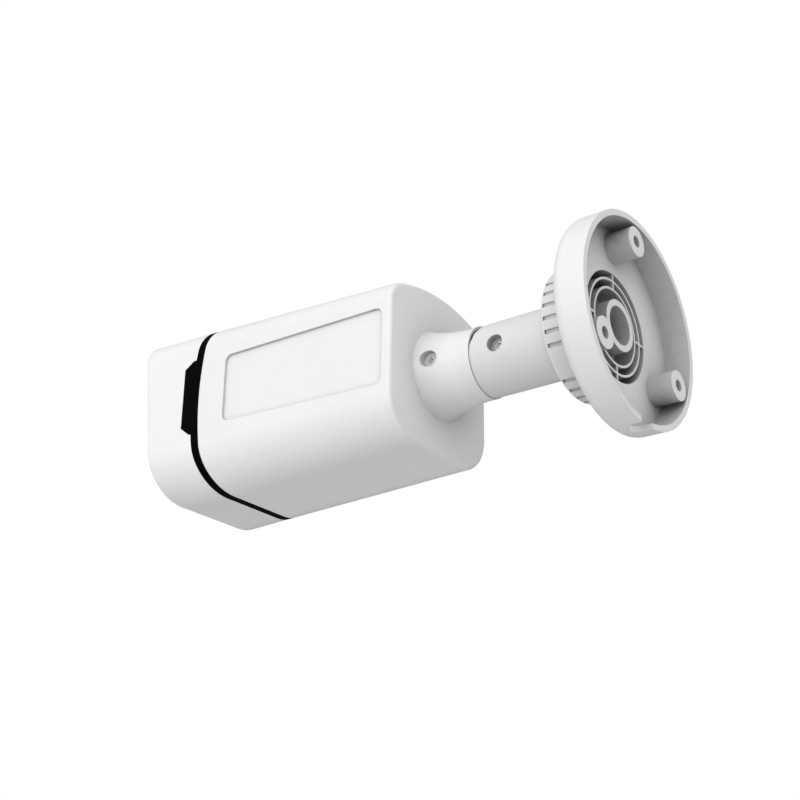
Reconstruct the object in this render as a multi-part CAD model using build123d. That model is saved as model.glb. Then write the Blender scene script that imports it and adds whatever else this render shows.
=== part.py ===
from build123d import *
import os
from math import cos, hypot, radians, sin

# A bullet security camera on a three-axis wall bracket.  Millimetres.
# The wall is the XZ plane: the open rim of the base stands on it, +Y points into the wall, +Z is up,
# and the camera looks along -Y.  "Depth" below is the distance from the wall, so depth = -Y.

# ---- wall base --------------------------------------------------------------------------------
BASE_R = 40.0
BASE_WALL = 2.3
BASE_DEPTH = 13.1
BASE_EDGE_R = 3.9
BASE_FLOOR = 10.0            # depth of the floor that the wall side shows
SCREW_CIRCLE_R = 30.9
SCREW_ANGLES = (90, 210, 330)
SCREW_BOSS_R = 5.75
SCREW_HOLE_R = 2.2
SCREW_HEAD_R = 4.2
SCREW_HEAD_SEAT = 8.0        # depth of the seat of the wall screws' heads
NOTCH_WIDTH = 8.0
NOTCH_DEPTH = 7.0

COLLAR_R = 22.4              # the threaded collar that the lock ring runs on
COLLAR_RECESS_R = 20.7
COLLAR_END = 20.5
COLLAR_FACE = 2.5
TUBE_R = 9.63                # central tube, which the cable goes through
TUBE_BORE_R = 7.24
TUBE_START = 8.3
TUBE_END = 24.5
RING_RIB_R = (17.9, 14.5)    # two thin ring ribs in the collar's recess
RIB_WALL = 0.9
RING_RIB_START = 10.2

RUN_GAP = 0.05               # clearance of a running fit

# ---- arm, lock ring and pivot -----------------------------------------------------------------
WASHER_R = 20.0
WASHER_END = 21.3
FLANGE_R = 20.0
FLANGE_START = 21.45
FLANGE_END = 23.85
RING_R = 24.6
RING_START = 13.4
RING_END = 26.3
RING_THREAD_R = 22.48
RING_LIP_START = 24.0
RING_LIP_R = 14.0
RING_EDGE_R = 1.4
GRIP_PITCH = 11.5            # degrees between finger grooves
GRIP_R = 0.75
GRIP_START = 19.5
GRIP_END = 25.1

ARM_R = 13.65
ARM_BORE_R = 9.7
ARM_END = 63.1
PIVOT = 52.0                 # depth of the tilt axis, which lies along X
SLOT_HALF = 5.3
SLOT_START = 40.0
SLOT_FLOOR = -11.6
EAR_CLEAR_R = 11.0           # the ears clear this radius about the tilt axis outside the neck's cup
EAR_TOP_R = 18.0             # and follow this larger arc where the cup swallows them
EAR_GAP = 0.35
BOLT_R = 1.5
BOLT_HEAD_R = 1.95
BOLT_HEAD_LENGTH = 2.3
BOLT_SOCKET_R = 1.25         # across the corners of the hexagon socket
BOLT_SOCKET_FLOOR = 1.2
BOLT_RECESS_R = 3.25
BOLT_SEAT = 8.2              # where the head sits, measured from the centre plane
NUT_R = 3.1
NUT_SEAT = 7.4
NUT_THICK = 2.4
PIVOT_WASHER_X = 4.2         # inner face of each pivot washer
PIVOT_WASHER_R = 5.0

# ---- knuckle ----------------------------------------------------------------------------------
EYE_R = 11.0
EYE_HALF = 4.9
TONGUE_TOP = 12.6
TONGUE_TOP_START = 57.0
TONGUE_FRONT = 67.5
STEM_R = 8.0
STEM_END = 98.0
STEM_GROOVE_R = 7.4          # the groove that the neck's set screw runs in
STEM_GROOVE_WIDTH = 3.6
CABLE_R = 2.3
CABLE_Z = -4.2
O_RING_AT = 73.0
O_RING_R = 7.1
O_RING_SECTION = 0.9
CLIP_START = 94.15
CLIP_THICK = 1.2
CLIP_R = 11.0
CLIP_GROOVE_R = 7.0
CLIP_MOUTH = 5.0

# ---- camera body ------------------------------------------------------------------------------
NECK_START = 63.2
NECK_PROFILE = ((14.0, 63.2), (13.95, 67.0), (14.3, 72.0), (15.05, 77.0), (16.3, 82.0), (17.6, 85.9))
CUP_R = 13.0                 # the hollow end of the neck, which takes in the ears as it tilts
CUP_END = 67.7
NECK_BORE_R = 8.06
NECK_BOSS_R = 12.0
NECK_BOSS_END = 94.0
SET_SCREW_AT = 79.9
SET_SCREW_ANGLE = 1.0
SET_SCREW_SEAT = 13.4         # floor of its recess, measured from the neck's axis
SET_SCREW_RECESS_R = 3.25
SET_SCREW_SOCKET_R = 0.95

REAR = 85.6
SHELL_WALL = 2.5
REAR_WALL = 3.0
REAR_EDGE_R = 1.6
WAIST = 180.5                # where the sides break, under the seal
SEAM = 180.1                 # foremost point of the housing's front edge, which is an arc seen from the side
SEAL_END = 183.8             # foremost point of the seal's front edge, a like arc
SEAM_R = 125.0
SEAM_MIDDLE_Z = 2.0
RIM = 205.3                  # front rim of the hood, at z = 0
RIM_LEAN = 0.115             # how much further out the rim stands for each mm upwards
CAP_WALL = 2.3
PANEL_DEPTH = 0.9            # the shallow side panels
PANEL_FRONT = 166.8
PANEL_REAR = 89.6
PANEL_TOP = 17.8
PANEL_LOW_FRONT = -10.5
PANEL_LOW_REAR = -13.2
PANEL_CORNER_R = 3.0
TAB_END = 187.9              # side tabs of the seal
TAB_LOW = -9.3
TAB_TOP = 16.2
TAB_SLOPE = 3.3

# (half width, crown's height, crown's radius, upper corner radius, depth below, lower corner radius)
REAR_SECTION = (31.6, 34.0, 75.0, 10.0, 32.0, 16.0)
WAIST_SECTION = (33.1, 38.8, 75.0, 11.5, 35.2, 18.0)
RIM_SECTION = (36.1, 39.6, 75.0, 12.5, 35.2, 19.0)

# ---- inside the camera ------------------------------------------------------------------------
POSTS = ((22.0, 19.0), (-22.0, 19.0), (22.0, -15.0), (-22.0, -15.0))
POSTS_MIDDLE_Z = 2.0
POST_R = 3.6
POST_WEB = 9.6
POST_WEB_WALL = 2.5
POST_START = 158.0
CHASSIS_START = 178.0
CHASSIS_END = 180.0
CAP_FLANGE_START = 189.2
CAP_FLANGE_END = 191.5
CAP_FLANGE_WIDTH = 6.5
SCREW_PAD_R = 4.6
SCREW_R = 1.45
POST_HOLE_R = 1.5
SCREW_TIP = 166.0
HOOD_HEAD_R = 2.7
HOOD_HEAD_LENGTH = 1.8
DRIVE_SLOT = (3.0, 0.7)      # length and width of the cross in a screw's head
BOARD_START = 168.0
BOARD_END = 169.6
BOARD_HALF = 17.0
CHASSIS_SIZE = (52.0, 40.0)
CHASSIS_CORNER_R = 8.0
CHASSIS_OPENING_R = 9.5
RIBBON_SIZE = (8.0, 0.5)
RIBBON_SLOT = (9.0, 1.6)
STANDOFF_R = 2.4
BOARD_SCREW_R = 1.0
BOARD_SCREW_HEAD_R = 2.1
BOARD_SCREW_HEAD = 1.5
BOARD_SCREW_GRIP = 4.0
CHIP_SIZE = 12.0             # the processor and its pad
CHIP_THICK = 1.2
PAD_THICK = 0.8
SINK_SIZE = 14.0
SINK_FOOT = 2.0
SINK_FIN = (1.2, 6.0, 3.2)   # thickness, length and pitch of the fins
SIDE_PARTS_X = 12.0          # where the memory chips, coils and capacitors stand
MEMORY_CHIP = (7.0, 5.0, 1.6)
SMALL_CHIP = (3.0, 6.0, 1.0)
CAPACITOR = (2.4, 5.0)       # radius and length
HEADER_Z = -14.0
HEADER_SIZE = (12.0, 4.5, 6.0)
HEADER_WALL = 0.75
HEADER_PIN = 0.6
HEADER_PITCH = 2.0
STANDOFFS = ((14.5, 14.5), (-14.5, 14.5), (14.5, -14.5), (-14.5, -14.5))
LEDGE_START = 193.4
LEDGE_END = 195.8
LEDGE_WIDTH = 3.5
FIT_GAP = 0.15               # clearance round the window, its gasket and the mask
WINDOW_START = 197.0
WINDOW_END = 200.0
LED_BOARD_START = 186.6
LED_BOARD_END = 187.8
LED_BOARD_SIZE = (48.0, 42.0)
LED_BOARD_CORNER_R = 9.0
LED_POST_X = 20.0
LED_POST_R = 2.2
LEDS = ((15.5, 12.5), (-15.5, 12.5), (15.5, -9.5), (-15.5, -9.5))
LED_OPENING_R = 5.0
LED_BASE = 5.0
LED_BASE_THICK = 1.6
LED_DOME_R = 3.2
SENSOR_PLACE = (0.0, 19.0)
SENSOR_R = 1.7
RIBBON_Z = 16.0
LENS_R = 6.0
LENS_HEAD_R = 8.5
LENS_START = 174.6
LENS_NECK_END = 187.5
LENS_FLARE_END = 189.5
LENS_END = 196.0
LENS_MOUTH_R = 7.3
LENS_GLASS_R = 4.6
LENS_GLASS_DOME_R = 8.2
SHROUD_R = 11.0
SHROUD_WALL = 1.9
HOLDER_END = 175.4
HOLDER_CAVITY_END = 174.0
HOLDER_TUBE_R = 8.5
HOLDER_TUBE_END = 184.0
HOLDER_SIZE = (31.0, 18.0)
HOLDER_CAVITY = (28.0, 12.0)
COIL_SIZE = (12.0, 5.0)
COIL_Z = -11.5
MAGNET_SIZE = (6.0, 2.4)
MAGNET_Z = -15.2
SENSOR_CHIP = (8.0, 7.0, 1.2)
LOCK_NUT_END = 186.0
FILTER_PITCH = 8.0           # travel of the filters, from one glass to the other
FILTER_SIZE = 6.6
CARRIAGE_START = 172.6
CARRIAGE_END = 173.8
CARRIAGE_SIZE = (18.6, 10.0)
FILTER_INSET = 0.3


# ---- ways of making shapes --------------------------------------------------------------------
def mixed(first, second, share):
    """Section between two sections, as a share of the way from the first."""
    return tuple(a + (b - a) * share for a, b in zip(first, second))


def place(depth, x=0, z=0):
    """Work plane at a depth from the wall, whose local axes are X and Z and whose normal is -Y."""
    return Plane.XZ.offset(depth) * Pos(x, z)


def rod(radius, start, end, x=0, z=0):
    """Round bar along the camera's long axis between two depths."""
    return extrude(place(start, x, z) * Circle(radius), end - start)


def tube(outer, inner, start, end, x=0, z=0):
    """Hollow round bar along the long axis."""
    return rod(outer, start, end, x, z) - rod(inner, start, end, x, z)


def block(width, height, start, end, x=0, z=0):
    """Rectangular bar along the long axis between two depths."""
    return extrude(place(start, x, z) * Rectangle(width, height), end - start)


def cross_rod(radius, start, end, depth=PIVOT, z=0):
    """Round bar along X between two values of x."""
    return extrude(Plane.YZ.offset(start) * Pos(-depth, z) * Circle(radius), end - start)


def cross_hex(radius, start, end, depth=PIVOT):
    """Hexagonal bar along X between two values of x."""
    return extrude(Plane.YZ.offset(start) * Pos(-depth, 0) * RegularPolygon(radius, 6), end - start)


def turned(corners):
    """Solid turned about the long axis from (radius, depth) corners."""
    points = [(radius, -depth) for radius, depth in corners]
    return revolve(make_face(Polyline(*points, close=True)), Axis.Y)


def around(shape, angle):
    """The shape turned about the long axis, from +X towards +Z."""
    return Rot(0, -angle, 0) * shape


def leaning(depth, lean):
    """Work plane that crosses z = 0 at a depth and stands further out towards the top."""
    return Plane(origin=(0, -depth, 0), x_dir=(1, 0, 0), z_dir=(0, -1, -lean))


def section_face(section, plane, inset=0):
    """Face with a crowned top, straight sides, a flat bottom and rounded corners."""
    half, crown, crown_r, upper_r, below, lower_r = section
    half, crown, crown_r, below = half - inset, crown - inset, crown_r - inset, below - inset
    shoulder = crown - crown_r + (crown_r**2 - half**2) ** 0.5
    outline = [
        ThreePointArc((-half, shoulder), (0, crown), (half, shoulder)),
        Polyline((half, shoulder), (half, -below), (-half, -below), (-half, shoulder)),
    ]
    face = make_face(outline)
    face = fillet(face.vertices().sort_by(Axis.Y)[2:], max(upper_r - inset, 1))
    return plane * fillet(face.vertices().sort_by(Axis.Y)[:2], max(lower_r - inset, 1))


def body_solid(inset=0, skipped=0):
    """Whole body from its rear to the hood's rim, or from a little further forward than the rear."""
    first = mixed(REAR_SECTION, WAIST_SECTION, skipped / (WAIST - REAR))
    faces = [
        section_face(first, place(REAR + skipped), inset),
        section_face(WAIST_SECTION, place(WAIST), inset),
        section_face(RIM_SECTION, leaning(RIM, RIM_LEAN), inset),
    ]
    return loft(faces, ruled=True)


def behind(depth):
    """Everything behind the arc that a seam follows, whose foremost point is at a depth."""
    return cross_rod(SEAM_R, -2 * BASE_R, 2 * BASE_R, depth - SEAM_R, SEAM_MIDDLE_Z)


def hood_solid(inset=0):
    """Solid of the hood from the seal to its slanted rim."""
    return body_solid(inset) - behind(SEAL_END)


def slab(start, end):
    """Wide slab between two depths, to cut a slice from a loft."""
    return block(100, 100, start, end)


# ---- wall base --------------------------------------------------------------------------------
def wall_base():
    """Moulded cup with a threaded collar, a central cable tube and three screw bosses."""
    shell = rod(BASE_R, 0, BASE_DEPTH)
    shell = fillet(shell.faces().sort_by(Axis.Y)[0].edges(), BASE_EDGE_R)
    shell -= rod(BASE_R - BASE_WALL, 0, BASE_FLOOR)
    shell += rod(COLLAR_R, BASE_FLOOR, COLLAR_END)
    shell -= rod(COLLAR_RECESS_R, BASE_FLOOR, COLLAR_END - COLLAR_FACE)
    shell += tube(TUBE_R, TUBE_BORE_R, TUBE_START, TUBE_END)
    face_start = COLLAR_END - COLLAR_FACE
    for radius in RING_RIB_R:
        shell += tube(radius + RIB_WALL / 2, radius - RIB_WALL / 2, RING_RIB_START, face_start)
    for angle in (0, 90, 180, 270):
        length = COLLAR_RECESS_R - RING_RIB_R[1]
        rib = block(length, RIB_WALL, RING_RIB_START, face_start, RING_RIB_R[1] + length / 2)
        shell += around(rib, angle)
    shell -= rod(TUBE_BORE_R, 0, TUBE_END)
    for angle in SCREW_ANGLES:
        x = SCREW_CIRCLE_R * cos(radians(angle))
        z = SCREW_CIRCLE_R * sin(radians(angle))
        shell += rod(SCREW_BOSS_R, 0, BASE_FLOOR, x, z)
        shell -= rod(SCREW_HOLE_R, 0, BASE_DEPTH, x, z)
        shell -= rod(SCREW_HEAD_R, SCREW_HEAD_SEAT, BASE_DEPTH, x, z)
    return shell - cable_notch()


def cable_notch():
    """Round-ended notch in the foot of the rim, for a cable that leaves along the wall."""
    straight = NOTCH_DEPTH - NOTCH_WIDTH / 2
    outline = Pos(0, -straight / 2) * Rectangle(NOTCH_WIDTH, straight)
    outline += Pos(0, -straight) * Circle(NOTCH_WIDTH / 2)
    return extrude(Plane.XY.offset(-BASE_R - 1) * outline, 2 * BASE_WALL + 1)


# ---- lock ring and arm ------------------------------------------------------------------------
def friction_washer():
    """Flat washer between the collar's face and the arm's flange."""
    return tube(WASHER_R, TUBE_R + RUN_GAP, COLLAR_END, WASHER_END)


def lock_ring():
    """Ring nut that clamps the arm's flange, with finger grooves in four groups of six."""
    ring = rod(RING_R, RING_START, RING_END)
    ring = fillet(ring.faces().sort_by(Axis.Y)[0].edges(), RING_EDGE_R)
    ring -= rod(RING_THREAD_R, RING_START, RING_LIP_START)
    ring -= rod(RING_LIP_R, RING_LIP_START, RING_END)
    for quarter in (0, 90, 180, 270):
        for step in (-2.5, -1.5, -0.5, 0.5, 1.5, 2.5):
            angle = quarter + step * GRIP_PITCH
            groove = rod(GRIP_R, GRIP_START, GRIP_END, RING_R)
            ring -= around(groove, angle)
    return ring


def bracket_arm():
    """Hollow arm with a clamped flange, and a fork whose slot opens to the top and the front."""
    arm = rod(FLANGE_R, FLANGE_START, FLANGE_END) + rod(ARM_R, FLANGE_END, ARM_END)
    arm -= rod(ARM_BORE_R, FLANGE_START, SLOT_START)
    slot_height = ARM_R - SLOT_FLOOR
    slot_middle = (ARM_R + SLOT_FLOOR) / 2
    arm -= block(2 * SLOT_HALF, slot_height, SLOT_START, ARM_END, 0, slot_middle)
    arm -= ear_relief()
    arm -= cross_rod(BOLT_R + RUN_GAP, -ARM_R, ARM_R)
    arm -= cross_rod(BOLT_HEAD_R + RUN_GAP, BOLT_SEAT, ARM_R)
    arm -= cross_rod(BOLT_RECESS_R, BOLT_SEAT + BOLT_HEAD_LENGTH, ARM_R)
    arm -= cross_hex(NUT_R, -ARM_R, -NUT_SEAT)
    return arm


def ear_relief():
    """What is cut from the upper front of the fork so that the neck can tilt up over it."""
    swept_r = hypot(NECK_START - PIVOT, CUP_R) - EAR_GAP
    front = block(2 * ARM_R, ARM_R, PIVOT, ARM_END, 0, ARM_R / 2)
    swallowed = Pos(0, -PIVOT, 0) * Sphere(swept_r)
    swallowed &= cross_rod(EAR_TOP_R, -ARM_R, ARM_R, ARM_END - EAR_TOP_R)
    return front - swallowed - cross_rod(EAR_CLEAR_R, -ARM_R, ARM_R)


def pivot_bolt():
    """Socket-head bolt of the tilt joint."""
    bolt = cross_rod(BOLT_R, -NUT_SEAT - NUT_THICK, BOLT_SEAT)
    bolt += cross_rod(BOLT_HEAD_R, BOLT_SEAT, BOLT_SEAT + BOLT_HEAD_LENGTH)
    return bolt - cross_hex(BOLT_SOCKET_R, BOLT_SEAT + BOLT_SOCKET_FLOOR, BOLT_SEAT + BOLT_HEAD_LENGTH)


def pivot_nut():
    """Hexagon nut held in the far side of the fork."""
    nut = cross_hex(NUT_R - RUN_GAP, -NUT_SEAT - NUT_THICK, -NUT_SEAT)
    return nut - cross_rod(BOLT_R, -NUT_SEAT - NUT_THICK, -NUT_SEAT)


def pivot_washers():
    """The two slippery washers that take up the space beside the knuckle's eye."""
    right = cross_rod(PIVOT_WASHER_R, PIVOT_WASHER_X, SLOT_HALF)
    right -= cross_rod(BOLT_R + RUN_GAP, PIVOT_WASHER_X, SLOT_HALF)
    return right + mirror(right, Plane.YZ)


# ---- knuckle ----------------------------------------------------------------------------------
def tilt_knuckle():
    """Eye on the tilt axis with a round stem that the camera's neck turns on."""
    knuckle = cross_rod(EYE_R, -EYE_HALF, EYE_HALF)
    web = block(2 * EYE_HALF, 2 * EYE_R, PIVOT, TONGUE_FRONT)
    knuckle += web & rod(CUP_R - EAR_GAP, PIVOT, TONGUE_FRONT)
    top = block(2 * EYE_HALF, TONGUE_TOP, TONGUE_TOP_START, ARM_END, 0, TONGUE_TOP / 2)
    knuckle += top & rod(ARM_R - EAR_GAP, PIVOT, ARM_END)
    knuckle += rod(STEM_R, TONGUE_FRONT, STEM_END)
    knuckle -= cross_rod(BOLT_R + RUN_GAP, -EYE_HALF, EYE_HALF)
    washer_bed = cross_rod(PIVOT_WASHER_R + EAR_GAP, PIVOT_WASHER_X - 2 * RUN_GAP, EYE_HALF)
    knuckle -= washer_bed + mirror(washer_bed, Plane.YZ)
    knuckle -= rod(CABLE_R, PIVOT - EYE_R, STEM_END, 0, CABLE_Z)
    groove_start = SET_SCREW_AT - STEM_GROOVE_WIDTH / 2
    knuckle -= tube(STEM_R, STEM_GROOVE_R, groove_start, groove_start + STEM_GROOVE_WIDTH)
    knuckle -= tube(STEM_R, CLIP_GROOVE_R, CLIP_START, CLIP_START + CLIP_THICK)
    half = O_RING_SECTION + 2 * RUN_GAP
    return knuckle - tube(STEM_R, O_RING_R - O_RING_SECTION, O_RING_AT - half, O_RING_AT + half)


def stem_o_ring():
    """Rubber ring that keeps water out of the turning neck joint."""
    section = Pos(O_RING_R, -O_RING_AT) * Circle(O_RING_SECTION)
    return revolve(section, Axis.Y)


def stem_clip():
    """Split retaining clip that snaps into the stem's groove inside the housing."""
    clip = tube(CLIP_R, CLIP_GROOVE_R, CLIP_START, CLIP_START + CLIP_THICK)
    return clip - block(CLIP_MOUTH, CLIP_R, CLIP_START, CLIP_START + CLIP_THICK, 0, -CLIP_R)


def neck_set_screw():
    """Headless socket screw whose tip runs in the stem's groove."""
    end = SET_SCREW_SEAT - RUN_GAP
    screw = cross_rod(BOLT_R, STEM_GROOVE_R + 2 * RUN_GAP, end, SET_SCREW_AT)
    screw -= cross_hex(SET_SCREW_SOCKET_R, end - BOLT_SOCKET_FLOOR, end, SET_SCREW_AT)
    return around(screw, SET_SCREW_ANGLE)


# ---- camera shells ----------------------------------------------------------------------------
def neck_solid():
    """The flared neck, turned from a smooth outline."""
    outline = Spline(*[(radius, -depth) for radius, depth in NECK_PROFILE])
    end = REAR + REAR_WALL
    foot = NECK_PROFILE[-1]
    mouth = NECK_PROFILE[0]
    rest = Polyline((foot[0], -foot[1]), (foot[0], -end), (0, -end), (0, -mouth[1]), (mouth[0], -mouth[1]))
    return revolve(make_face([outline, rest]), Axis.Y)


def housing_shell():
    """Hollow lofted body with a rounded rear edge and a shallow panel on each side."""
    shell = body_solid()
    shell = fillet(shell.faces().sort_by(Axis.Y)[-1].edges(), REAR_EDGE_R) & behind(SEAM)
    right = side_panel_space() - body_solid(PANEL_DEPTH)
    return shell - body_solid(SHELL_WALL, REAR_WALL) - right - mirror(right, Plane.YZ)


def side_panel_space():
    """Space over the outline of the right-hand side panel."""
    corners = (
        (-PANEL_FRONT, PANEL_LOW_FRONT),
        (-PANEL_FRONT, PANEL_TOP),
        (-PANEL_REAR, PANEL_TOP),
        (-PANEL_REAR, PANEL_LOW_REAR),
    )
    outline = make_face(Polyline(*corners, close=True))
    outline = fillet(outline.vertices(), PANEL_CORNER_R)
    return extrude(Plane.YZ.offset(REAR_SECTION[0] - SHELL_WALL) * outline, 2 * SHELL_WALL)


def rear_housing():
    """Housing, neck and the posts that the front assembly screws into, moulded in one piece."""
    inner = body_solid(SHELL_WALL / 2)
    housing = housing_shell() + neck_solid() + rod(NECK_BOSS_R, REAR, NECK_BOSS_END)
    for x, z in POSTS:
        side = 1 if x > 0 else -1
        web = block(POST_WEB, POST_WEB_WALL, POST_START, CHASSIS_START, x + side * POST_WEB / 2, z)
        housing += (rod(POST_R, POST_START, CHASSIS_START, x, z) + web) & inner
    housing -= rod(CUP_R, NECK_START, CUP_END)
    housing -= rod(NECK_BORE_R, CUP_END, NECK_BOSS_END)
    for x, z in POSTS:
        housing -= rod(POST_HOLE_R, SCREW_TIP, CHASSIS_START, x, z)
    hole = cross_rod(BOLT_R + RUN_GAP, 0, SET_SCREW_SEAT, SET_SCREW_AT)
    hole += cross_rod(SET_SCREW_RECESS_R, SET_SCREW_SEAT, NECK_PROFILE[-1][0], SET_SCREW_AT)
    return housing - around(hole, SET_SCREW_ANGLE)


def tab_space(grow=0):
    """Space of both side tabs of the seal, with sloped ends, wider than the hood's wall is thick."""
    low, top, end = TAB_LOW - grow, TAB_TOP + grow, TAB_END + grow
    corners = (
        (-SEAM, low - TAB_SLOPE),
        (-SEAL_END, low - TAB_SLOPE),
        (-end, low),
        (-end, top),
        (-SEAL_END, top + TAB_SLOPE),
        (-SEAM, top + TAB_SLOPE),
    )
    inner_x = WAIST_SECTION[0] - 2 * CAP_WALL
    right = extrude(Plane.YZ.offset(inner_x) * make_face(Polyline(*corners, close=True)), 4 * CAP_WALL)
    return right + mirror(right, Plane.YZ)


def front_seal():
    """Black sealing band with a tab on each side that reaches into the hood."""
    band = (body_solid() & behind(SEAL_END)) - behind(SEAM) - body_solid(SHELL_WALL, REAR_WALL)
    tabs = (hood_solid() - hood_solid(CAP_WALL)) & tab_space()
    return band + tabs


def front_cap():
    """White hood with a ledge for the window and a flange for the screws."""
    cavity = hood_solid(CAP_WALL)
    cap = hood_solid() - cavity - tab_space(RUN_GAP)
    cap += (cavity & slab(LEDGE_START, LEDGE_END)) - hood_solid(CAP_WALL + LEDGE_WIDTH)
    cap += (cavity & slab(CAP_FLANGE_START, CAP_FLANGE_END)) - hood_solid(CAP_WALL + CAP_FLANGE_WIDTH)
    for x, z in POSTS:
        cap += rod(SCREW_PAD_R, CAP_FLANGE_START, CAP_FLANGE_END, x, z) & cavity
    for x, z in POSTS:
        cap -= rod(SCREW_R + RUN_GAP, CAP_FLANGE_START, CAP_FLANGE_END, x, z)
    return cap


# ---- front of the camera ----------------------------------------------------------------------
def window_gasket():
    """Thin rubber frame between the hood's ledge and the window."""
    frame = hood_solid(CAP_WALL + FIT_GAP) - hood_solid(CAP_WALL + LEDGE_WIDTH)
    return frame & slab(LEDGE_END, WINDOW_START)


def front_window():
    """Clear plate that closes the front."""
    return hood_solid(CAP_WALL + FIT_GAP) & slab(WINDOW_START, WINDOW_END)


def face_mask():
    """Black mask behind the window, with openings for the lens, the emitters and the sensor."""
    mask = hood_solid(CAP_WALL + LEDGE_WIDTH + FIT_GAP) & slab(LEDGE_START, LEDGE_END)
    mask -= rod(SHROUD_R + FIT_GAP, LEDGE_START, LEDGE_END)
    for x, z in LEDS:
        mask -= rod(LED_OPENING_R, LEDGE_START, LEDGE_END, x, z)
    return mask - rod(SENSOR_R, LEDGE_START, LEDGE_END, *SENSOR_PLACE)


def lens_shroud():
    """Rubber sleeve around the lens that keeps the emitters' light out of it."""
    return tube(SHROUD_R, SHROUD_R - SHROUD_WALL, LED_BOARD_END, WINDOW_START)


def led_board():
    """Board that carries the infrared emitters and the light sensor."""
    board = block(*LED_BOARD_SIZE, LED_BOARD_START, LED_BOARD_END, 0, POSTS_MIDDLE_Z)
    board = fillet(board.edges().filter_by(Axis.Y), LED_BOARD_CORNER_R)
    for x, z in POSTS:
        board -= rod(SCREW_PAD_R + FIT_GAP, LED_BOARD_START, LED_BOARD_END, x, z)
    return board - rod(SHROUD_R - SHROUD_WALL, LED_BOARD_START, LED_BOARD_END)


def ir_leds():
    """Infrared emitters, each a square base with a domed lens."""
    base_end = LED_BOARD_END + LED_BASE_THICK
    group = Part()
    for x, z in LEDS:
        dome = Pos(x, -base_end, z) * Sphere(LED_DOME_R)
        group += block(LED_BASE, LED_BASE, LED_BOARD_END, base_end, x, z)
        group += dome & slab(base_end, base_end + LED_DOME_R)
    return group


def light_sensor():
    """Small sensor that tells day from night."""
    x, z = SENSOR_PLACE
    flange = rod(SENSOR_R, LED_BOARD_END, LED_BOARD_END + LED_BASE_THICK, x, z)
    return flange + rod(SENSOR_R - 2 * FIT_GAP, LED_BOARD_END, LEDGE_START, x, z)


# ---- optics -----------------------------------------------------------------------------------
def lens_holder():
    """Holder over the image sensor, with the filter's channel and the lens's threaded tube."""
    holder = block(*HOLDER_SIZE, BOARD_END, HOLDER_END)
    holder -= block(*HOLDER_CAVITY, BOARD_END, HOLDER_CAVITY_END)
    holder += rod(HOLDER_TUBE_R, HOLDER_END, HOLDER_TUBE_END)
    return holder - rod(LENS_R, HOLDER_CAVITY_END, HOLDER_TUBE_END)


def lens_barrel():
    """Threaded lens barrel with its wide head behind the window."""
    outline = (
        (0, LENS_START),
        (LENS_R, LENS_START),
        (LENS_R, LENS_NECK_END),
        (LENS_HEAD_R, LENS_FLARE_END),
        (LENS_HEAD_R, LENS_END),
        (LENS_MOUTH_R, LENS_END),
        (LENS_GLASS_R, LENS_END - LENS_MOUTH_R / 2),
        (LENS_GLASS_R, LENS_FLARE_END),
        (0, LENS_FLARE_END),
    )
    return turned(outline) - rod(LENS_GLASS_R / 2, LENS_START, LENS_NECK_END)


def lens_glass():
    """Front lens element, held in the barrel's mouth."""
    front = LENS_END - LENS_MOUTH_R / 2
    dome = Pos(0, LENS_GLASS_DOME_R - front - LENS_GLASS_R / 4, 0) * Sphere(LENS_GLASS_DOME_R)
    return dome & rod(LENS_GLASS_R, LENS_FLARE_END, LENS_END)


def lens_lock_ring():
    """Ring nut that locks the focused barrel against its holder."""
    return tube(HOLDER_TUBE_R, LENS_R, HOLDER_TUBE_END, LOCK_NUT_END)


def ir_cut_carriage():
    """Sliding frame with two openings, one for each filter."""
    carriage = block(*CARRIAGE_SIZE, CARRIAGE_START, CARRIAGE_END, -FILTER_PITCH / 2)
    for x in (0, -FILTER_PITCH):
        carriage -= block(FILTER_SIZE, FILTER_SIZE, CARRIAGE_START, CARRIAGE_END, x)
    return carriage


def ir_cut_filters():
    """The infrared-cut glass and the clear glass, side by side."""
    start, end = CARRIAGE_START + FILTER_INSET, CARRIAGE_END - FILTER_INSET
    glass = block(FILTER_SIZE, FILTER_SIZE, start, end)
    return glass + block(FILTER_SIZE, FILTER_SIZE, start, end, -FILTER_PITCH)


def ir_cut_actuator():
    """Small coil unit beside the holder that shifts the filters."""
    coil = block(*COIL_SIZE, BOARD_END, HOLDER_CAVITY_END, 0, COIL_Z)
    return coil + block(*MAGNET_SIZE, BOARD_END, CARRIAGE_START, 0, MAGNET_Z)


def image_sensor():
    """Image sensor on the front of the main board."""
    width, height, thick = SENSOR_CHIP
    return block(width, height, BOARD_END, BOARD_END + thick)


# ---- electronics ------------------------------------------------------------------------------
def main_board():
    """Main circuit board, with four screw holes."""
    board = block(2 * BOARD_HALF, 2 * BOARD_HALF, BOARD_START, BOARD_END)
    for x, z in STANDOFFS:
        board -= rod(BOARD_SCREW_R + RUN_GAP, BOARD_START, BOARD_END, x, z)
    return board


def board_chips():
    """Processor, memory chips, coils and capacitors on the rear of the main board."""
    chips = block(CHIP_SIZE, CHIP_SIZE, BOARD_START - CHIP_THICK, BOARD_START)
    for x in (-SIDE_PARTS_X, SIDE_PARTS_X):
        for (width, height, thick), z in ((MEMORY_CHIP, 9), (SMALL_CHIP, 0)):
            chips += block(width, height, BOARD_START - thick, BOARD_START, x, z)
        chips += rod(CAPACITOR[0], BOARD_START - CAPACITOR[1], BOARD_START, x, -8)
    return chips


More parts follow.
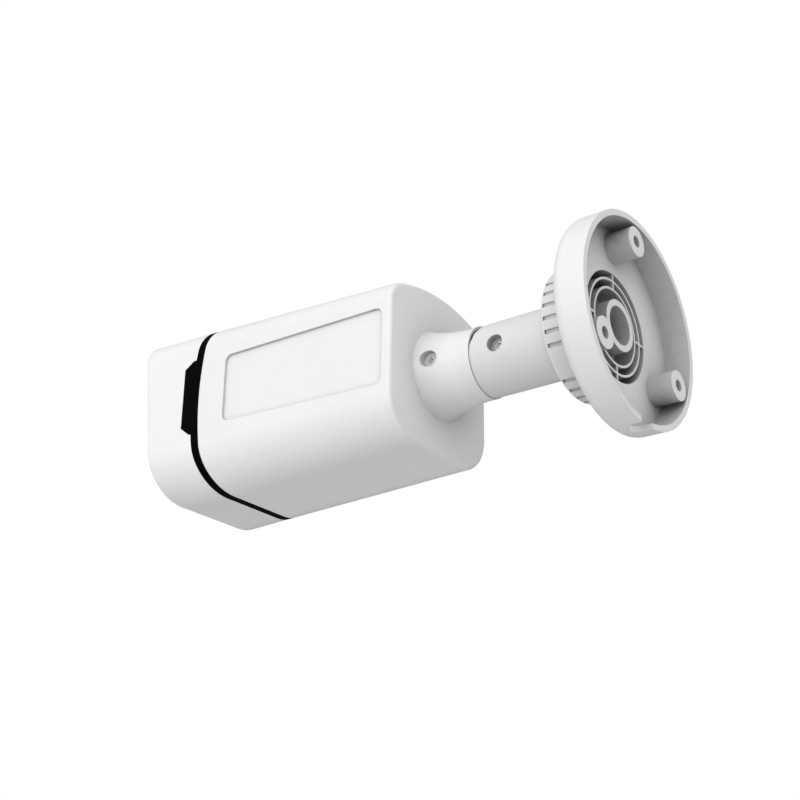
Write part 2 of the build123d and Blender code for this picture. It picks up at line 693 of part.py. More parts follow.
def cable_header():
    """Pin header that the cable's plug goes onto."""
    width, height, length = HEADER_SIZE
    start = BOARD_START - length
    body = block(width, height, start, BOARD_START, 0, HEADER_Z)
    hollow = (width - 2 * HEADER_WALL, height - 2 * HEADER_WALL)
    body -= block(*hollow, start, BOARD_START - CHIP_THICK, 0, HEADER_Z)
    for step in (-2, -1, 0, 1, 2):
        pin_start = start + HEADER_WALL
        body += block(HEADER_PIN, HEADER_PIN, pin_start, BOARD_START, step * HEADER_PITCH, HEADER_Z)
    return body


def thermal_pad():
    """Soft pad between the processor and the heat sink."""
    end = BOARD_START - CHIP_THICK
    return block(CHIP_SIZE, CHIP_SIZE, end - PAD_THICK, end)


def heat_sink():
    """Finned aluminium block behind the processor."""
    end = BOARD_START - CHIP_THICK - PAD_THICK
    foot_start = end - SINK_FOOT
    thick, length, pitch = SINK_FIN
    sink = block(SINK_SIZE, SINK_SIZE, foot_start, end)
    for step in (-2, -1, 0, 1, 2):
        sink += block(thick, SINK_SIZE, foot_start - length, foot_start, step * pitch)
    return sink


def board_standoffs():
    """Brass posts between the chassis and the main board."""
    posts = Part()
    for x, z in STANDOFFS:
        posts += tube(STANDOFF_R, BOARD_SCREW_R + RUN_GAP / 2, BOARD_END, CHASSIS_START, x, z)
    return posts


def board_screws():
    """Screws through the main board into the brass posts."""
    screws = Part()
    for x, z in STANDOFFS:
        screws += rod(BOARD_SCREW_HEAD_R, BOARD_START - BOARD_SCREW_HEAD, BOARD_START, x, z)
        screws += rod(BOARD_SCREW_R, BOARD_START, BOARD_END + BOARD_SCREW_GRIP, x, z)
    return screws


def chassis_plate():
    """Steel plate that carries the boards, clamped on the housing's posts."""
    plate = block(*CHASSIS_SIZE, CHASSIS_START, CHASSIS_END, 0, POSTS_MIDDLE_Z)
    plate = fillet(plate.edges().filter_by(Axis.Y), CHASSIS_CORNER_R)
    for x, z in POSTS:
        plate += rod(POST_R, CHASSIS_START, CHASSIS_END, x, z)
        plate -= rod(SCREW_R + RUN_GAP, CHASSIS_START, CHASSIS_END, x, z)
    plate -= block(*RIBBON_SLOT, CHASSIS_START, CHASSIS_END, 0, RIBBON_Z)
    return plate - rod(CHASSIS_OPENING_R, CHASSIS_START, CHASSIS_END)


def post_spacers():
    """Sleeves that carry the hood's flange on the chassis plate."""
    sleeves = Part()
    for x, z in POSTS:
        sleeves += tube(POST_R - EAR_GAP, SCREW_R + RUN_GAP, CHASSIS_END, CAP_FLANGE_START, x, z)
    return sleeves


def hood_screws():
    """Long screws through the hood, the sleeves and the chassis into the housing's posts."""
    screws = Part()
    for x, z in POSTS:
        head_end = CAP_FLANGE_END + HOOD_HEAD_LENGTH
        slot_start = CAP_FLANGE_END + HOOD_HEAD_LENGTH / 2
        head = rod(HOOD_HEAD_R, CAP_FLANGE_END, head_end, x, z)
        head -= block(*DRIVE_SLOT, slot_start, head_end, x, z)
        head -= block(*reversed(DRIVE_SLOT), slot_start, head_end, x, z)
        screws += head + rod(SCREW_R, SCREW_TIP, CAP_FLANGE_END, x, z)
    return screws


def led_board_posts():
    """Moulded posts that hold the emitter board off the chassis."""
    posts = Part()
    for x in (-LED_POST_X, LED_POST_X):
        posts += rod(LED_POST_R, CHASSIS_END, LED_BOARD_START, x, POSTS_MIDDLE_Z)
    return posts


def board_ribbon():
    """Flat ribbon cable from the main board up to the emitter board."""
    return block(*RIBBON_SIZE, BOARD_END, LED_BOARD_START, 0, RIBBON_Z)


PARTS = (
    wall_base, friction_washer, lock_ring, bracket_arm, pivot_bolt, pivot_nut, pivot_washers,
    tilt_knuckle, stem_o_ring, stem_clip, rear_housing, neck_set_screw, front_seal, front_cap,
    window_gasket, front_window, face_mask, lens_shroud, led_board, ir_leds, light_sensor,
    lens_holder, lens_barrel, lens_glass, lens_lock_ring, ir_cut_carriage, ir_cut_filters,
    ir_cut_actuator, image_sensor, main_board, board_chips, cable_header, thermal_pad, heat_sink,
    board_standoffs, board_screws, chassis_plate, post_spacers, hood_screws, led_board_posts,
    board_ribbon,
)

os.makedirs("parts", exist_ok=True)
for maker in PARTS:
    export_step(maker(), f"parts/{maker.__name__}.step")
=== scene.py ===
from math import cos, pi, radians, sin

import bmesh
import bpy
import numpy as np
from mathutils import Matrix, Vector


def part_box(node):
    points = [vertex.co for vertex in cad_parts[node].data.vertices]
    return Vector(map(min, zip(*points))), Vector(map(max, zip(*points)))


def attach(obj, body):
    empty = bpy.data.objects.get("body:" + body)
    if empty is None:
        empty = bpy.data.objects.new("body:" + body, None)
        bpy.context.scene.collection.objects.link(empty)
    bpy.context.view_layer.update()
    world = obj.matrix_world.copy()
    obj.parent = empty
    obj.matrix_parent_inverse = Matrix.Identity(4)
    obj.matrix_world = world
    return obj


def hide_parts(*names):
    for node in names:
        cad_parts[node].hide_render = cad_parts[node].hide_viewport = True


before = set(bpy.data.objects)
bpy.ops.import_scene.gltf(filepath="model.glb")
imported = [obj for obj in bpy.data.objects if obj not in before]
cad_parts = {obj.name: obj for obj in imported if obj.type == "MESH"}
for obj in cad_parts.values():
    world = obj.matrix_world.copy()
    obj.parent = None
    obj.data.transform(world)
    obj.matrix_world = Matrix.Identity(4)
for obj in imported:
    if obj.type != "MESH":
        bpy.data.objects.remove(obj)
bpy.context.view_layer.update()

# ---- View and studio --------------------------------------------------------------------------
# The camera hangs on its bracket with nothing behind it, seen from the wall's side, from the left
# and from below.  A surround that is brighter on the left, two soft lamps and a pale floor light
# it, and the floor fades out before its edge.
VIEW_AZIMUTH = radians(126.75)
VIEW_ELEVATION = radians(-23.02)
VIEW_ROLL = radians(0.79)
VIEW_FROM = Vector((0.4129, 0.2041, -0.2241))
VIEW_LENS = 65.25

view_back = Vector((
    sin(VIEW_AZIMUTH) * cos(VIEW_ELEVATION),
    -cos(VIEW_AZIMUTH) * cos(VIEW_ELEVATION),
    sin(VIEW_ELEVATION),
))
view = bpy.data.objects.new("view", bpy.data.cameras.new("view"))
view.data.lens = VIEW_LENS
view.data.clip_start = 0.01
turn = view_back.to_track_quat("Z", "Y").to_matrix().to_4x4()
view.matrix_world = Matrix.Translation(VIEW_FROM) @ turn @ Matrix.Rotation(VIEW_ROLL, 4, "Z")
bpy.context.scene.collection.objects.link(view)
bpy.context.scene.camera = view
bpy.context.scene.view_settings.view_transform = "Standard"


def wire(tree, kind, feeds, **settings):
    """Adds one node to a tree; each feed is a value for an input or the socket that leads into it."""
    made = tree.nodes.new("ShaderNode" + kind)
    for name, value in settings.items():
        setattr(made, name, value)
    for name, value in feeds.items():
        if isinstance(value, bpy.types.NodeSocket):
            tree.links.new(value, made.inputs[name])
        else:
            made.inputs[name].default_value = value
    return made


def new_material(name):
    """Makes a material with nodes, and gives it with its node tree and its Principled shader."""
    material = bpy.data.materials.new(name)
    material.use_nodes = True
    return material, material.node_tree, material.node_tree.nodes["Principled BSDF"]


def surround(fill, slope, least, bright_side, backdrop):
    """World whose light grows evenly towards one side, with plain white behind the object.

    The light from a direction is fill plus slope times its share of bright_side, and never below least.
    """
    world = bpy.data.worlds.new("surround")
    world.use_nodes = True
    tree = world.node_tree
    tree.nodes.clear()
    way = wire(tree, "TexCoord", {}).outputs["Generated"]
    share = wire(tree, "VectorMath", {0: way, 1: bright_side.normalized()}, operation="DOT_PRODUCT")
    strength = wire(tree, "Math", {0: share.outputs["Value"], 1: slope, 2: fill}, operation="MULTIPLY_ADD")
    strength = wire(tree, "Math", {0: strength.outputs[0], 1: least}, operation="MAXIMUM")
    glow = wire(tree, "Background", {"Color": (1, 1, 1, 1), "Strength": strength.outputs[0]})
    paper = wire(tree, "Background", {"Color": (1, 1, 1, 1), "Strength": backdrop})
    seen = wire(tree, "LightPath", {})
    mix = wire(tree, "MixShader", {"Fac": seen.outputs["Is Camera Ray"]})
    tree.links.new(glow.outputs[0], mix.inputs[1])
    tree.links.new(paper.outputs[0], mix.inputs[2])
    out = tree.nodes.new("ShaderNodeOutputWorld")
    tree.links.new(mix.outputs[0], out.inputs["Surface"])
    return world


def lamp(name, place, aim, size, power):
    """Square soft lamp at a place, turned towards a point."""
    light = bpy.data.lights.new(name, "AREA")
    light.size = size
    light.energy = power
    holder = bpy.data.objects.new(name, light)
    heading = (Vector(aim) - Vector(place)).to_track_quat("-Z", "Y").to_matrix().to_4x4()
    holder.matrix_world = Matrix.Translation(place) @ heading
    bpy.context.scene.collection.objects.link(holder)


BRIGHT_SIDE = Vector((0.86, 0.46, 0.04))
bpy.context.scene.world = surround(fill=0.68, slope=0.72, least=0.2, bright_side=BRIGHT_SIDE, backdrop=1.0)
lamp("left_side", place=(1.1, -0.1, 0.3), aim=(0, -0.1, 0), size=0.45, power=2.2)
lamp("lens_side", place=(-0.3, -1.2, 0.3), aim=(0, -0.2, 0.1), size=0.5, power=3.0)

FLOOR_HALF = 3.0
FLOOR_LEVEL = -0.55
FLOOR_FADES_FROM = 0.9
FLOOR_COLOUR = (0.74, 0.74, 0.74)
floor_corners = np.array([(-1, -1), (1, -1), (1, 1), (-1, 1)]) * FLOOR_HALF
floor_mesh = bpy.data.meshes.new("floor")
floor_mesh.from_pydata([(x, y, FLOOR_LEVEL) for x, y in floor_corners], [], [(0, 1, 2, 3)])
floor = bpy.data.objects.new("floor", floor_mesh)
bpy.context.scene.collection.objects.link(floor)
pale, pale_tree, pale_shader = new_material("pale_floor")
pale_shader.inputs["Base Color"].default_value = (*FLOOR_COLOUR, 1)
pale_shader.inputs["Roughness"].default_value = 0.8
spot = wire(pale_tree, "TexCoord", {}).outputs["Object"]
reach = wire(pale_tree, "VectorMath", {0: spot}, operation="LENGTH")
fade = wire(pale_tree, "MapRange", {
    "Value": reach.outputs["Value"], "From Min": FLOOR_FADES_FROM, "From Max": FLOOR_HALF,
    "To Min": 1.0, "To Max": 0.0,
}, interpolation_type="SMOOTHSTEP")
pale_tree.links.new(fade.outputs[0], pale_shader.inputs["Alpha"])
floor_mesh.materials.append(pale)


# ---- White mouldings --------------------------------------------------------------------------
# Base, lock ring, arm, knuckle, housing and hood are injection-moulded in white weatherproof
# plastic, with a fine satin grain and slightly soft edges; their closed-in corners carry painted shade.
# The arm and knuckle get a darker copy of the white, which is painted shade too.
# The washers are plain nylon.
SLOW_PATCHES = 28.0              # this and the specks are noise cells in a metre
DUST_AND_SHADE_SPECKS = 340.0
GRAIN_RISE = 0.00006


def surface_group(name, numbers, colours):
    """Empty group that takes the numbers and colours named and gives a colour, a roughness and a normal."""
    group = bpy.data.node_groups.new(name, "ShaderNodeTree")
    for words, value in numbers.items():
        socket = group.interface.new_socket(name=words, in_out="INPUT", socket_type="NodeSocketFloat")
        socket.default_value = value
    for words in colours:
        group.interface.new_socket(name=words, in_out="INPUT", socket_type="NodeSocketColor")
    for words, kind in (("Color", "Color"), ("Roughness", "Float"), ("Normal", "Vector")):
        group.interface.new_socket(name=words, in_out="OUTPUT", socket_type="NodeSocket" + kind)
    return group


def give_out(group, colour, roughness, normal):
    """Leads the nodes that end a group to its three outputs."""
    out = group.nodes.new("NodeGroupOutput").inputs
    for words, node in (("Color", colour), ("Roughness", roughness), ("Normal", normal)):
        group.links.new(node.outputs[0], out[words])


def cover(tree, shader, group, settings):
    """Places a surface group in a material, with the material's own settings, and feeds the shader."""
    skin = tree.nodes.new("ShaderNodeGroup")
    skin.node_tree = group
    for words, value in settings.items():
        skin.inputs[words].default_value = value
    for words, target in (("Color", "Base Color"), ("Roughness", "Roughness"), ("Normal", "Normal")):
        tree.links.new(skin.outputs[words], shader.inputs[target])


def skin_group():
    """Group that gives a moulded surface its grain, its soft edges, its dust and painted shade, and its
    sheen.

    The normal is a rounded-edge normal bumped by a fine noise.  The mask of dust and painted shade is one
    minus the
    ambient occlusion, broken up by specks: mixed towards a darker colour it is painted shade in closed-in
    corners, and mixed towards a paler colour on black pieces it is bloom.  Tone and roughness wander a little
    with a slow noise.
    """
    group = surface_group("moulded_skin", {
        "Grain Size": 0.0005, "Grain Height": 0.3, "Edge Radius": 0.0004, "Roughness": 0.45, "Dust": 0.3,
        "Dust Reach": 0.006,
    }, ("Plastic", "Dust Colour"))
    ask = group.nodes.new("NodeGroupInput").outputs
    place = wire(group, "TexCoord", {}).outputs["Object"]
    pitch = wire(group, "Math", {0: 1.0, 1: ask["Grain Size"]}, operation="DIVIDE").outputs[0]
    grain = wire(group, "TexNoise", {"Vector": place, "Scale": pitch, "Detail": 3.0, "Roughness": 0.6})
    slow = wire(group, "TexNoise", {"Vector": place, "Scale": SLOW_PATCHES, "Detail": 4.0, "Roughness": 0.55})
    specks = wire(group, "TexNoise", {"Vector": place, "Scale": DUST_AND_SHADE_SPECKS, "Detail": 2.0})
    rough = wire(group, "MapRange", {
        "Value": slow.outputs[0], "From Min": 0.3, "From Max": 0.7, "To Min": -0.045, "To Max": 0.045,
    })
    rough = wire(group, "Math", {0: rough.outputs[0], 1: ask["Roughness"]}, operation="ADD")
    shade = wire(group, "MapRange", {
        "Value": slow.outputs[0], "From Min": 0.25, "From Max": 0.75, "To Min": 0.97, "To Max": 1.0,
    })
    tone = wire(group, "MixRGB", {"Fac": 1.0, "Color1": ask["Plastic"], "Color2": shade.outputs[0]},
                blend_type="MULTIPLY")
    # Painted shade: where the ambient occlusion finds a corner closed in, the colour is mixed towards the
    # corner colour; on black pieces that colour is paler and stands for bloom.
    open_air = wire(group, "AmbientOcclusion", {"Distance": ask["Dust Reach"]}, samples=16)
    closed = wire(group, "Math", {0: 1.0, 1: open_air.outputs["AO"]}, operation="SUBTRACT")
    patchy = wire(group, "MapRange", {
        "Value": specks.outputs[0], "From Min": 0.3, "From Max": 0.75, "To Min": 0.85, "To Max": 1.0,
    })
    dust = wire(group, "Math", {0: closed.outputs[0], 1: patchy.outputs[0]}, operation="MULTIPLY")
    dust = wire(group, "Math", {0: dust.outputs[0], 1: ask["Dust"]}, operation="MULTIPLY", use_clamp=True)
    colour = wire(group, "MixRGB", {
        "Fac": dust.outputs[0], "Color1": tone.outputs[0], "Color2": ask["Dust Colour"],
    })
    edge = wire(group, "Bevel", {"Radius": ask["Edge Radius"]}, samples=6)
    bump = wire(group, "Bump", {
        "Strength": ask["Grain Height"], "Distance": GRAIN_RISE, "Height": grain.outputs[0],
        "Normal": edge.outputs[0],
    })
    give_out(group, colour, rough, bump)
    return group


moulded_skin = skin_group()


def moulding(name, plastic, dust_and_shade_colour, specular=0.5, **skin):
    """Material of a moulded piece: the shared skin, whose other inputs keep their words, over a shader."""
    material, tree, shader = new_material(name)
    shader.inputs["Specular IOR Level"].default_value = specular
    settings = {words.replace("_", " ").title(): value for words, value in skin.items()}
    cover(tree, shader, moulded_skin, {
        "Plastic": (*plastic, 1), "Dust Colour": (*dust_and_shade_colour, 1), **settings,
    })
    return material


def finish(material, *nodes):
    """Puts a material into every slot of the CAD nodes named."""
    for node in nodes:
        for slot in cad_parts[node].material_slots:
            slot.material = material


# The white mouldings' closed-in corners are mixed towards a dark grey, which is painted shade.
WHITE = (0.8, 0.8, 0.8)
WHITE_PAINTED_SHADE = (0.12, 0.12, 0.12)
shell_white = moulding("shell_white", WHITE, WHITE_PAINTED_SHADE, roughness=0.42, dust=0.8, edge_radius=0.0006,
                       dust_reach=0.015)
finish(shell_white, "rear_housing", "front_cap")

# Arm and knuckle: the same white plastic, given a darker colour and a darker corner colour, both painted
# shade.
ARM_SHADED_WHITE = (0.71, 0.71, 0.71)
ARM_PAINTED_SHADE = (0.05, 0.05, 0.05)
arm_white_shaded = moulding("arm_white_shaded", ARM_SHADED_WHITE, ARM_PAINTED_SHADE, roughness=0.42, dust=0.8, edge_radius=0.0004,
                     dust_reach=0.008)
finish(arm_white_shaded, "bracket_arm", "tilt_knuckle")

ring_white = moulding("ring_white", WHITE, WHITE_PAINTED_SHADE, roughness=0.46, dust=1.0, edge_radius=0.0003,
                      dust_reach=0.03)
finish(ring_white, "lock_ring")

base_white = moulding("base_white", WHITE, WHITE_PAINTED_SHADE, roughness=0.44, dust=1.0, edge_radius=0.0004,
                      dust_reach=0.035)
finish(base_white, "wall_base")

NYLON = (0.78, 0.77, 0.73)
# The washers' closed-in corners are mixed towards a darker grey-tan, as painted shade.
washer_nylon = moulding("washer_nylon", NYLON, (0.4, 0.39, 0.36), roughness=0.55, grain_size=0.0003,
                        edge_radius=0.0001)
finish(washer_nylon, "pivot_washers", "friction_washer")

# ---- Black seal, rubbers and black plastic ----------------------------------------------------
# The band between housing and hood, the ring on the stem, the window's gasket and the sleeve
# round the lens are matt black rubber with a faint bloom.  The mask, lens holder, slide and posts
# are moulded in black plastic, and the heat pad is cut from grey silicone.
RUBBER = (0.001, 0.001, 0.001)
BLOOM = (0.03, 0.03, 0.03)
seal_black = moulding("seal_black", RUBBER, BLOOM, roughness=0.7, specular=0.03, grain_size=0.0004,
                      grain_height=0.5, dust=0.1, edge_radius=0.0003)
finish(seal_black, "front_seal", "stem_o_ring", "window_gasket", "lens_shroud")

mask_black = moulding("mask_black", (0.012, 0.012, 0.013), BLOOM, roughness=0.5, specular=0.4,
                      dust=0.15, edge_radius=0.0002)
finish(mask_black, "face_mask", "lens_holder", "ir_cut_carriage", "led_board_posts")

PAD = (0.33, 0.34, 0.36)
# The pad's closed-in corners are mixed towards a darker grey, as painted shade.
pad_grey = moulding("pad_grey", PAD, (0.2, 0.2, 0.2), roughness=0.7, grain_size=0.0006,
                    grain_height=0.8, dust=0.2, edge_radius=0.0001)
finish(pad_grey, "thermal_pad")


# ---- Screws, nut, clip and plates -------------------------------------------------------------
# The bolt, nut and screws are turned stainless steel, the clip and plate are stamped, the fins
# are extruded aluminium and the board's posts are brass.  Fine tool marks run round each piece.
MARK_PITCH = (900.0, 9000.0, 900.0)
MARK_RISE = 0.00004
SMUDGES = 260.0


def tool_marks():
    """Group that gives bare metal its tool marks.

    Height and tone follow a noise squeezed along the camera's length, so the marks run round the
    turned pieces, and roughness follows the smudges of a slower noise.
    """
    group = surface_group("tool_marks", {
        "Roughness": 0.3, "Mark Depth": 0.2, "Edge Radius": 0.0002,
    }, ("Metal",))
    ask = group.nodes.new("NodeGroupInput").outputs
    place = wire(group, "TexCoord", {}).outputs["Object"]
    squeezed = wire(group, "Mapping", {"Vector": place, "Scale": MARK_PITCH})
    marks = wire(group, "TexNoise", {"Vector": squeezed.outputs[0], "Scale": 1.0, "Detail": 2.0})
    smudge = wire(group, "TexNoise", {"Vector": place, "Scale": SMUDGES, "Detail": 3.0})
    spread = wire(group, "MapRange", {
        "Value": smudge.outputs[0], "From Min": 0.3, "From Max": 0.7, "To Min": -0.06, "To Max": 0.08,
    })
    rough = wire(group, "Math", {0: spread.outputs[0], 1: ask["Roughness"]}, operation="ADD")
    shade = wire(group, "MapRange", {
        "Value": marks.outputs[0], "From Min": 0.2, "From Max": 0.8, "To Min": 0.86, "To Max": 1.0,
    })
    tone = wire(group, "MixRGB", {"Fac": 1.0, "Color1": ask["Metal"], "Color2": shade.outputs[0]},
                blend_type="MULTIPLY")
    edge = wire(group, "Bevel", {"Radius": ask["Edge Radius"]}, samples=4)
    bump = wire(group, "Bump", {
        "Strength": ask["Mark Depth"], "Distance": MARK_RISE, "Height": marks.outputs[0],
        "Normal": edge.outputs[0],
    })
    give_out(group, tone, rough, bump)
    return group


metal_marks = tool_marks()


def bare_metal(name, metal, roughness, mark_depth=0.2, edge_radius=0.0002):
    """Material of a machined or stamped metal piece."""
    material, tree, shader = new_material(name)
    shader.inputs["Metallic"].default_value = 1.0
    cover(tree, shader, metal_marks, {
        "Metal": (*metal, 1), "Roughness": roughness, "Mark Depth": mark_depth, "Edge Radius": edge_radius,
    })
    return material


stainless = bare_metal("stainless", (0.74, 0.73, 0.72), roughness=0.34)
finish(stainless, "pivot_bolt", "pivot_nut", "neck_set_screw", "stem_clip", "hood_screws",
       "board_screws", "post_spacers", "chassis_plate")
finish(bare_metal("aluminium", (0.7, 0.7, 0.72), roughness=0.4, mark_depth=0.35), "heat_sink")
finish(bare_metal("brass", (0.72, 0.53, 0.24), roughness=0.3), "board_standoffs")

# ---- Window and filters -----------------------------------------------------------------------
# A clear plate, pressed onto its gasket, closes the hood.  The two panes that the slide brings
# in front of the image sensor are thin filter glass, glued into their frame.
WIPE_MARKS = 60.0
WIPE_HAZE = 0.05


def pane(name, colour, ior, roughness):
    """Material of a clear pane, with faint wiping marks in its roughness."""
    material, tree, shader = new_material(name)
    shader.inputs["Base Color"].default_value = (*colour, 1)
    shader.inputs["Transmission Weight"].default_value = 1.0
    shader.inputs["IOR"].default_value = ior
    place = wire(tree, "TexCoord", {}).outputs["Object"]
    wipes = wire(tree, "TexNoise", {"Vector": place, "Scale": WIPE_MARKS, "Detail": 5.0, "Distortion": 1.5})
    haze = wire(tree, "MapRange", {
        "Value": wipes.outputs[0], "From Min": 0.35, "From Max": 0.8,
        "To Min": roughness, "To Max": roughness + WIPE_HAZE,
    })
    tree.links.new(haze.outputs[0], shader.inputs["Roughness"])
    return material


finish(pane("window_clear", (0.9, 0.91, 0.92), ior=1.45, roughness=0.02), "front_window")
finish(pane("filter_glass", (0.55, 0.78, 0.82), ior=1.5, roughness=0.02), "ir_cut_filters")


# ---- Lens -------------------------------------------------------------------------------------
# A black anodised barrel screws into its holder.  Its head has a knurled grip outside and fine
# steps inside the mouth that stop stray light, and the coated front glass sits at their foot.
BARREL_NODE_LOW, BARREL_NODE_HIGH = (Vector(corner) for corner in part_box("lens_barrel"))
BARREL_FRONT = BARREL_NODE_LOW.y
BARREL_BACK = BARREL_NODE_HIGH.y
BARREL_HEAD_R = BARREL_NODE_HIGH.x
BARREL_THREAD_R = 0.006
BARREL_MOUTH_R = 0.0073
BARREL_GLASS_R = 0.0046
BARREL_NECK = -0.1875            # where the thread ends and the head flares out
BARREL_SHOULDER = -0.1895
BARREL_GLASS_FRONT = -0.1924
BARREL_CHAMFER = 0.0003
KNURLS = 60
KNURL_DEPTH = 0.00022
THREAD_PITCH = 0.0005
THREAD_DEPTH = 0.00025
MOUTH_STEPS = 6
POINTS_IN_A_WAVE = 6             # for the thread's turns and for the knurls
MERGE_WITHIN = 1e-7


def closed_piece(name, points, faces, smooth):
    """Object of a closed surface on the camera: poles are merged to one point, faces turned outwards."""
    mesh = bpy.data.meshes.new(name)
    mesh.from_pydata(points, [], faces)
    shell = bmesh.new()
    shell.from_mesh(mesh)
    bmesh.ops.remove_doubles(shell, verts=shell.verts, dist=MERGE_WITHIN)
    bmesh.ops.recalc_face_normals(shell, faces=shell.faces)
    shell.to_mesh(mesh)
    shell.free()
    mesh.polygons.foreach_set("use_smooth", np.full(len(mesh.polygons), smooth))
    piece = bpy.data.objects.new(name, mesh)
    bpy.context.scene.collection.objects.link(piece)
    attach(piece, "camera")
    return piece


def turned_surface(name, radius, length, around):
    """Closed surface of revolution about the Y axis through the lens.

    radius and length are arrays of the outline's points, length along Y, or radius a grid with
    one row for each point of the outline and one column for each step around.
    """
    angle = np.linspace(0, 2 * pi, around, endpoint=False)
    radius = np.broadcast_to(radius.reshape(len(length), -1), (len(length), around))
    along = np.repeat(length[:, None], around, axis=1)
    grid = np.stack([radius * np.cos(angle), along, radius * np.sin(angle)], -1)
    rows, columns = np.meshgrid(np.arange(len(length)), np.arange(around), indexing="ij")
    after_row, after_column = (rows + 1) % len(length), (columns + 1) % around
    corners = np.stack([rows * around + columns, rows * around + after_column,
                        after_row * around + after_column, after_row * around + columns], -1)
    return closed_piece(name, grid.reshape(-1, 3), corners.reshape(-1, 4), smooth=True)


def barrel_outline():
    """Outline of the barrel, from its back, forward over the outside and back through the bore.

    The thread is a sine of the depth, and the mouth goes in by equal steps along a cone.
    """
    thread_y = np.arange(BARREL_BACK - THREAD_PITCH / 2, BARREL_NECK, -THREAD_PITCH / POINTS_IN_A_WAVE)
    thread_r = BARREL_THREAD_R - THREAD_DEPTH / 2 * (1 - np.cos(2 * pi * thread_y / THREAD_PITCH))
    step = np.arange(MOUTH_STEPS) / MOUTH_STEPS
    step_r = BARREL_MOUTH_R + (BARREL_GLASS_R - BARREL_MOUTH_R) * step
    step_y = BARREL_FRONT + (BARREL_GLASS_FRONT - BARREL_FRONT) * step
    mouth_r = np.repeat(step_r, 2)[1:]
    mouth_y = np.repeat(step_y, 2)[:-1]
    head_r = [BARREL_THREAD_R, BARREL_HEAD_R, BARREL_HEAD_R, BARREL_HEAD_R - BARREL_CHAMFER, BARREL_MOUTH_R]
    head_y = [BARREL_NECK, BARREL_SHOULDER, BARREL_FRONT + BARREL_CHAMFER, BARREL_FRONT, BARREL_FRONT]
    bore_r = [BARREL_GLASS_R, BARREL_GLASS_R, BARREL_GLASS_R / 2, BARREL_GLASS_R / 2]
    bore_y = [BARREL_GLASS_FRONT, BARREL_SHOULDER, BARREL_SHOULDER, BARREL_BACK]
    radius = np.concatenate([[BARREL_THREAD_R - THREAD_DEPTH], thread_r, head_r, mouth_r, bore_r])
    length = np.concatenate([[BARREL_BACK], thread_y, head_y, mouth_y, bore_y])
    return radius, length


def knurled_barrel():
    """The barrel's surface, whose head is pressed in by a wave around it wherever it is full width."""
    radius, length = barrel_outline()
    around = KNURLS * POINTS_IN_A_WAVE
    angle = np.linspace(0, 2 * pi, around, endpoint=False)
    grip = np.isclose(radius, BARREL_HEAD_R)
    wave = KNURL_DEPTH / 2 * (1 - np.cos(KNURLS * angle))
    grid = radius[:, None] - grip[:, None] * wave[None, :]
    return turned_surface("lens_barrel_knurled", grid, length, around)


barrel = knurled_barrel()
anodised = moulding("anodised_black", (0.015, 0.015, 0.016), BLOOM, roughness=0.38,
                    grain_size=0.0002, dust=0.1, edge_radius=0.0001)
barrel.data.materials.append(anodised)
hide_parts("lens_barrel")
finish(anodised, "lens_lock_ring")


COATING_BLUE = (0.16, 0.24, 0.55)
COATING_VIOLET = (0.42, 0.16, 0.5)


def coated_glass():
    """Front lens: clear glass whose coating goes from blue to violet where the surface turns away."""
    material, tree, shader = new_material("coated_glass")
    shader.inputs["Transmission Weight"].default_value = 0.85
    shader.inputs["IOR"].default_value = 1.6
    shader.inputs["Coat Weight"].default_value = 1.0
    shader.inputs["Coat Roughness"].default_value = 0.02
    shader.inputs["Roughness"].default_value = 0.02
    glance = wire(tree, "LayerWeight", {"Blend": 0.35})
    tint = wire(tree, "MixRGB", {
        "Fac": glance.outputs["Facing"], "Color1": (*COATING_BLUE, 1), "Color2": (*COATING_VIOLET, 1),
    })
    tree.links.new(tint.outputs[0], shader.inputs["Base Color"])
    return material


finish(coated_glass(), "lens_glass")

# ---- Infrared emitters and light sensor -------------------------------------------------------
# Each emitter is a square white base, moulded with a shallow cup in its face, and a clear domed
# lens cast over the cup.  Four of them are soldered round the lens, with a light sensor above it.
LED_LOW, LED_HIGH = (Vector(corner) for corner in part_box("ir_leds"))
LED_BASE_HALF = 0.0025
LED_DOME_R = 0.0032
LED_BASE_THICK = 0.0016
LED_DOME_HEIGHT = LED_HIGH.y - LED_LOW.y - LED_BASE_THICK
LED_X = (LED_HIGH.x - LED_DOME_R, LED_LOW.x + LED_DOME_R)
LED_Z = (LED_HIGH.z - LED_DOME_R, LED_LOW.z + LED_DOME_R)
LED_STEPS = 32
DOME_RINGS = 14
SQUARE_POWER = 12


def emitters(name, across, forward, outline, smooth):
    """Four copies of one turned or squared form, one at each emitter.

    across is how far the outline's points stand from the emitter's axis, forward their distance
    from the board, and outline(angle) the factor that makes the round form square.  The outline
    starts and ends on the axis.
    """
    angle = np.linspace(0, 2 * pi, LED_STEPS, endpoint=False)
    reach = across[:, None] * outline(angle)[None, :]
    depth = LED_HIGH.y - np.repeat(forward[:, None], LED_STEPS, axis=1)
    form = np.stack([reach * np.cos(angle), depth, reach * np.sin(angle)], -1).reshape(-1, 3)
    rows, columns = np.meshgrid(np.arange(len(across) - 1), np.arange(LED_STEPS), indexing="ij")
    after = (columns + 1) % LED_STEPS
    faces = np.stack([rows * LED_STEPS + columns, (rows + 1) * LED_STEPS + columns,
                      (rows + 1) * LED_STEPS + after, rows * LED_STEPS + after], -1).reshape(-1, 4)
    centres = np.array([(x, 0, z) for x in LED_X for z in LED_Z])
    points = (centres[:, None, :] + form[None, :, :]).reshape(-1, 3)
    faces = (np.arange(len(centres))[:, None, None] * len(form) + faces[None, :, :]).reshape(-1, 4)
    return closed_piece(name, points, faces, smooth)


def round_form(angle):
    """Radius of a circle: one in every direction."""
    return np.ones_like(angle)


def square_form(angle):
    """Radius of a square with soft corners: one over the direction's length in a high-power norm."""
    powers = np.abs(np.cos(angle)) ** SQUARE_POWER + np.abs(np.sin(angle)) ** SQUARE_POWER
    return powers ** (-1 / SQUARE_POWER)


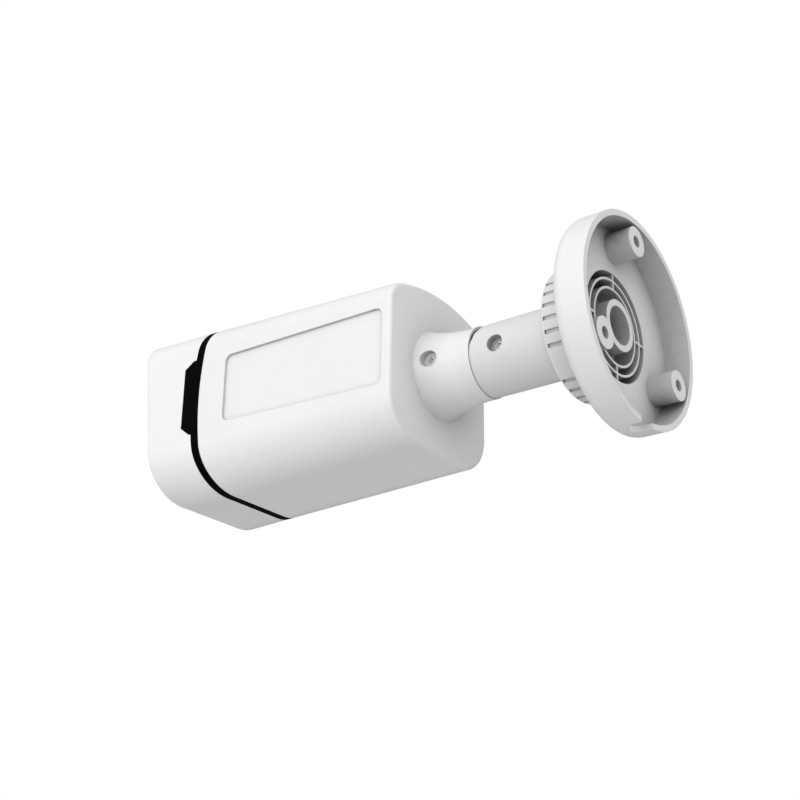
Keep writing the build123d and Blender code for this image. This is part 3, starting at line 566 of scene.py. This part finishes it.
base_across = np.array([0, 1, 1, 0.96, 0.8, 0.62, 0]) * LED_BASE_HALF
base_forward = np.array([0, 0, 0.94, 1, 1, 0.55, 0.5]) * LED_BASE_THICK
bases = emitters("emitter_bases", base_across, base_forward, square_form, smooth=False)
swell = np.linspace(0, pi / 2, DOME_RINGS)
dome_across = np.concatenate([[0], LED_DOME_R * np.cos(swell[:-1]), [0]])
dome_forward = LED_BASE_THICK + np.append(0, LED_DOME_HEIGHT * np.sin(swell))
domes = emitters("emitter_domes", dome_across, dome_forward, round_form, smooth=True)
# The emitter bases' cups and closed-in corners are mixed towards a mid grey, as painted shade.
emitter_white = moulding("emitter_white", (0.78, 0.78, 0.76), (0.4, 0.4, 0.38), roughness=0.35,
                         grain_size=0.0002, edge_radius=0.0001)
bases.data.materials.append(emitter_white)
domes.data.materials.append(pane("emitter_clear", (0.93, 0.94, 0.95), ior=1.48, roughness=0.03))
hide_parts("ir_leds")
finish(pane("sensor_clear", (0.85, 0.88, 0.9), ior=1.5, roughness=0.05), "light_sensor")


# ---- Circuit boards and what they carry -------------------------------------------------------
# The main board is green, the emitters' board white.  Copper tracks show through the lacquer as
# faint raised lines.  The chips are moulded in black, and the header and the ribbon are cream.
TRACK_CELLS = 420.0
TRACK_RISE = 0.00004


def lacquered_board(name, lacquer, track):
    """Material of a board: tracks are the walls between the cells of a box-shaped cell pattern."""
    material, tree, shader = new_material(name)
    place = wire(tree, "TexCoord", {}).outputs["Object"]
    cells = wire(tree, "TexVoronoi", {"Vector": place, "Scale": TRACK_CELLS, "Randomness": 0.75},
                 distance="CHEBYCHEV", feature="F1")
    ridge = wire(tree, "MapRange", {
        "Value": cells.outputs["Distance"], "From Min": 0.42, "From Max": 0.5, "To Min": 0.0, "To Max": 1.0,
    })
    colour = wire(tree, "MixRGB", {"Fac": ridge.outputs[0], "Color1": (*lacquer, 1), "Color2": (*track, 1)})
    bump = wire(tree, "Bump", {"Strength": 0.35, "Distance": TRACK_RISE, "Height": ridge.outputs[0]})
    gloss = wire(tree, "MapRange", {"Value": cells.outputs["Distance"], "To Min": 0.28, "To Max": 0.38})
    tree.links.new(colour.outputs[0], shader.inputs["Base Color"])
    tree.links.new(gloss.outputs[0], shader.inputs["Roughness"])
    tree.links.new(bump.outputs[0], shader.inputs["Normal"])
    return material


finish(lacquered_board("board_green", (0.012, 0.11, 0.045), (0.03, 0.2, 0.08)), "main_board")
finish(lacquered_board("board_white", (0.74, 0.75, 0.73), (0.62, 0.63, 0.6)), "led_board")
chip_black = moulding("chip_black", (0.022, 0.022, 0.024), BLOOM, roughness=0.5, grain_size=0.0003,
                      grain_height=0.6, edge_radius=0.0001)
finish(chip_black, "board_chips", "ir_cut_actuator", "image_sensor")
# The header's and ribbon's closed-in corners are mixed towards a darker cream, as painted shade.
cream = moulding("header_cream", (0.7, 0.67, 0.56), (0.35, 0.33, 0.28), roughness=0.5,
                 grain_size=0.0003, edge_radius=0.0001)
finish(cream, "cable_header", "board_ribbon")
